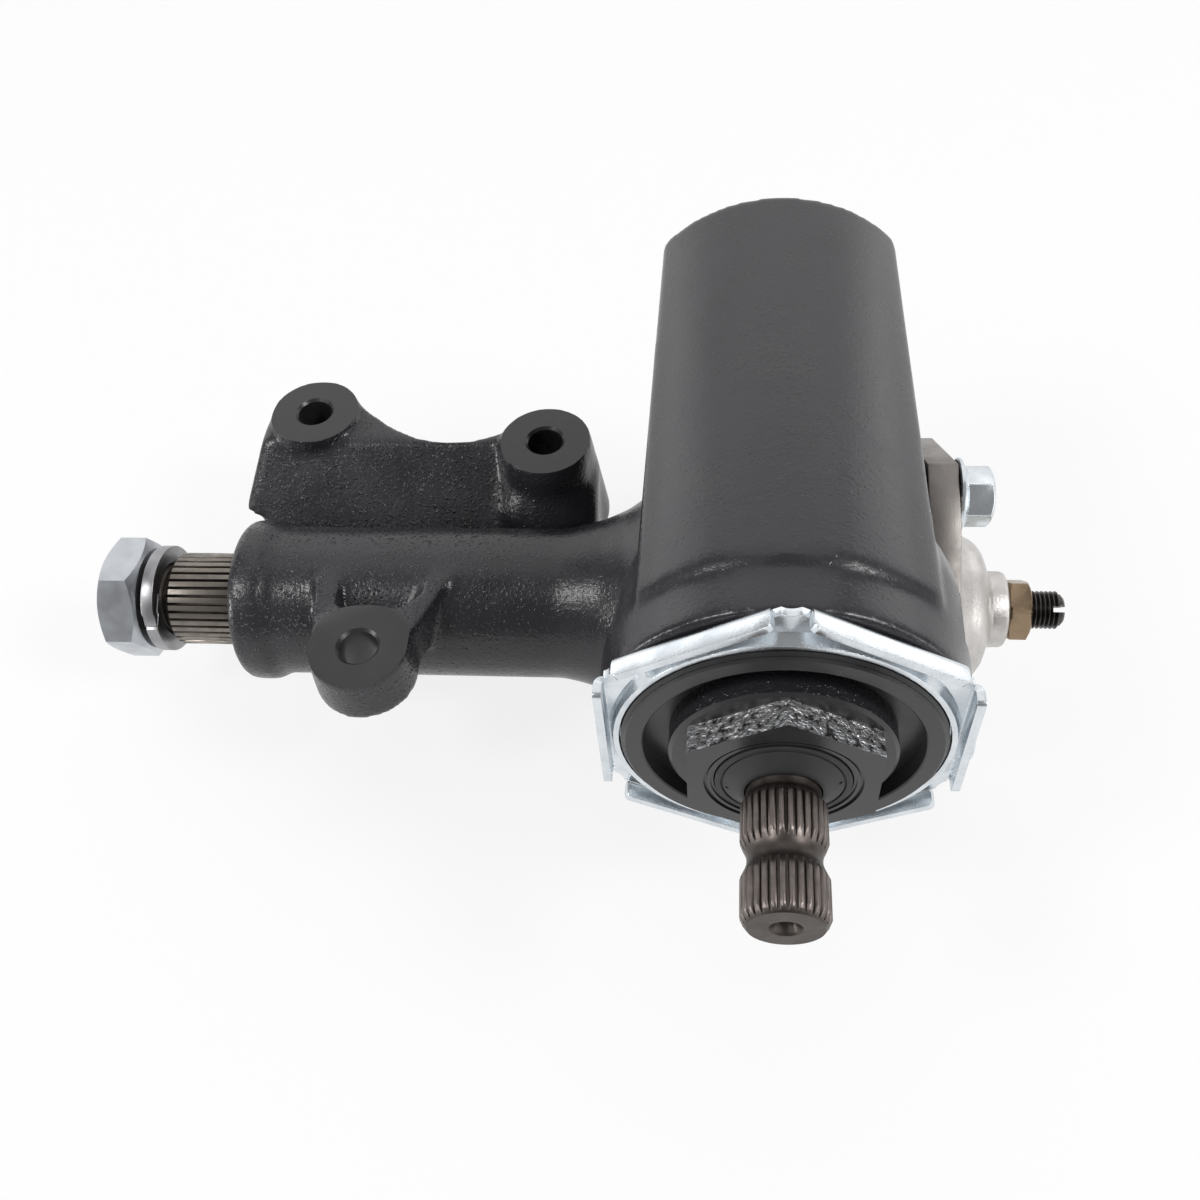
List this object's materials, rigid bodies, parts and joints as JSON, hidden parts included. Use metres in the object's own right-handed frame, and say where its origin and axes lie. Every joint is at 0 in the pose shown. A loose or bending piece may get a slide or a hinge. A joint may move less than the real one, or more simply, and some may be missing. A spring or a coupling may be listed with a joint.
{
  "type": "steering gearbox",
  "caption": "Manual recirculating-ball steering gearbox: splined input shaft, worm and ball nut driving a sector shaft with splined output, bolted side cover and bossed cast housing.",
  "frame": {"origin": "bottom centre of the box around the whole gearbox", "axes": "+Z is the normal of the mounting boss faces; the input shaft points along -Y and the output shaft along -X"},
  "size_m": [0.287, 0.1992, 0.1366],
  "materials": {
    "housing_paint": "satin black paint over a rough casting",
    "plug_cast": "black, turned faces over rough casting",
    "zinc_sheet": "bright zinc plate",
    "zinc_fastener": "zinc plate",
    "seal_rubber": "matte",
    "shaft_steel": "oiled bare steel",
    "nut_steel": "hardened, ground",
    "bearing_steel": "polished",
    "guide_steel": "pressed sheet",
    "bushing_bronze": "bronze liner",
    "cover_aluminium": "cast, machined edges",
    "gasket_fibre": "fibre sheet",
    "adjuster_black": "black oxide",
    "jam_nut_bronze": "yellow passivated"
  },
  "bodies": {
    "case": {"housing": "housing_paint", "worm_bearing_adjuster": "plug_cast", "adjuster_lock_nut": "zinc_sheet", "input_seal": "seal_rubber", "upper_bearing_cup": "bearing_steel", "lower_bearing_cup": "bearing_steel", "upper_bearing_balls": "bearing_steel", "lower_bearing_balls": "bearing_steel", "sector_bushing_inner": "bushing_bronze", "sector_bushing_outer": "bushing_bronze", "cover_bushing": "bushing_bronze", "sector_seal": "seal_rubber", "sector_cover": "cover_aluminium", "cover_gasket": "gasket_fibre", "cover_bolt_1": "zinc_fastener", "cover_bolt_2": "zinc_fastener", "cover_bolt_3": "zinc_fastener", "filler_plug": "zinc_fastener", "lash_jam_nut": "jam_nut_bronze"},
    "worm": {"worm_shaft": "shaft_steel"},
    "nut": {"ball_nut": "nut_steel", "ball_guide_front": "guide_steel", "ball_guide_rear": "guide_steel", "guide_clamp": "guide_steel", "guide_clamp_screw_1": "guide_steel", "guide_clamp_screw_2": "guide_steel", "ball_01": "bearing_steel", "ball_02": "bearing_steel", "ball_03": "bearing_steel", "ball_04": "bearing_steel", "ball_05": "bearing_steel", "ball_06": "bearing_steel", "ball_07": "bearing_steel", "ball_08": "bearing_steel", "ball_09": "bearing_steel", "ball_10": "bearing_steel", "ball_11": "bearing_steel", "ball_12": "bearing_steel", "ball_13": "bearing_steel", "ball_14": "bearing_steel", "ball_15": "bearing_steel", "ball_16": "bearing_steel", "ball_17": "bearing_steel", "ball_18": "bearing_steel", "ball_19": "bearing_steel", "ball_20": "bearing_steel", "ball_21": "bearing_steel", "ball_22": "bearing_steel", "ball_23": "bearing_steel", "ball_24": "bearing_steel"},
    "sector": {"sector_shaft": "shaft_steel", "pitman_lock_washer": "zinc_fastener", "pitman_nut": "zinc_fastener"},
    "lash_screw": {"lash_adjuster": "adjuster_black", "adjuster_shim": "bearing_steel"}
  },
  "joints": [
    {"name": "input_turn", "type": "hinge", "parent": "case", "child": "worm", "pos_m": [0.05945, -0.0571, 0.09], "axis": [0, 1, 0], "range_deg": [-608, 608]},
    {"name": "nut_travel", "type": "slide", "parent": "case", "child": "nut", "axis": [0, 1, 0], "range_m": [-0.01595, 0.01595]},
    {"name": "sector_turn", "type": "hinge", "parent": "case", "child": "sector", "pos_m": [0.05945, 0.0224, 0.04], "axis": [1, 0, 0], "range_deg": [-38.1, 38.1]},
    {"name": "lash_turn", "type": "hinge", "parent": "case", "child": "lash_screw", "pos_m": [0.12545, 0.0224, 0.04], "axis": [1, 0, 0], "range_deg": [-60, 60]}
  ],
  "couplings": [
    {"joint": "nut_travel", "follows": "input_turn", "m_per_rad": 0.0015},
    {"joint": "sector_turn", "follows": "input_turn", "ratio": -0.0625}
  ]
}
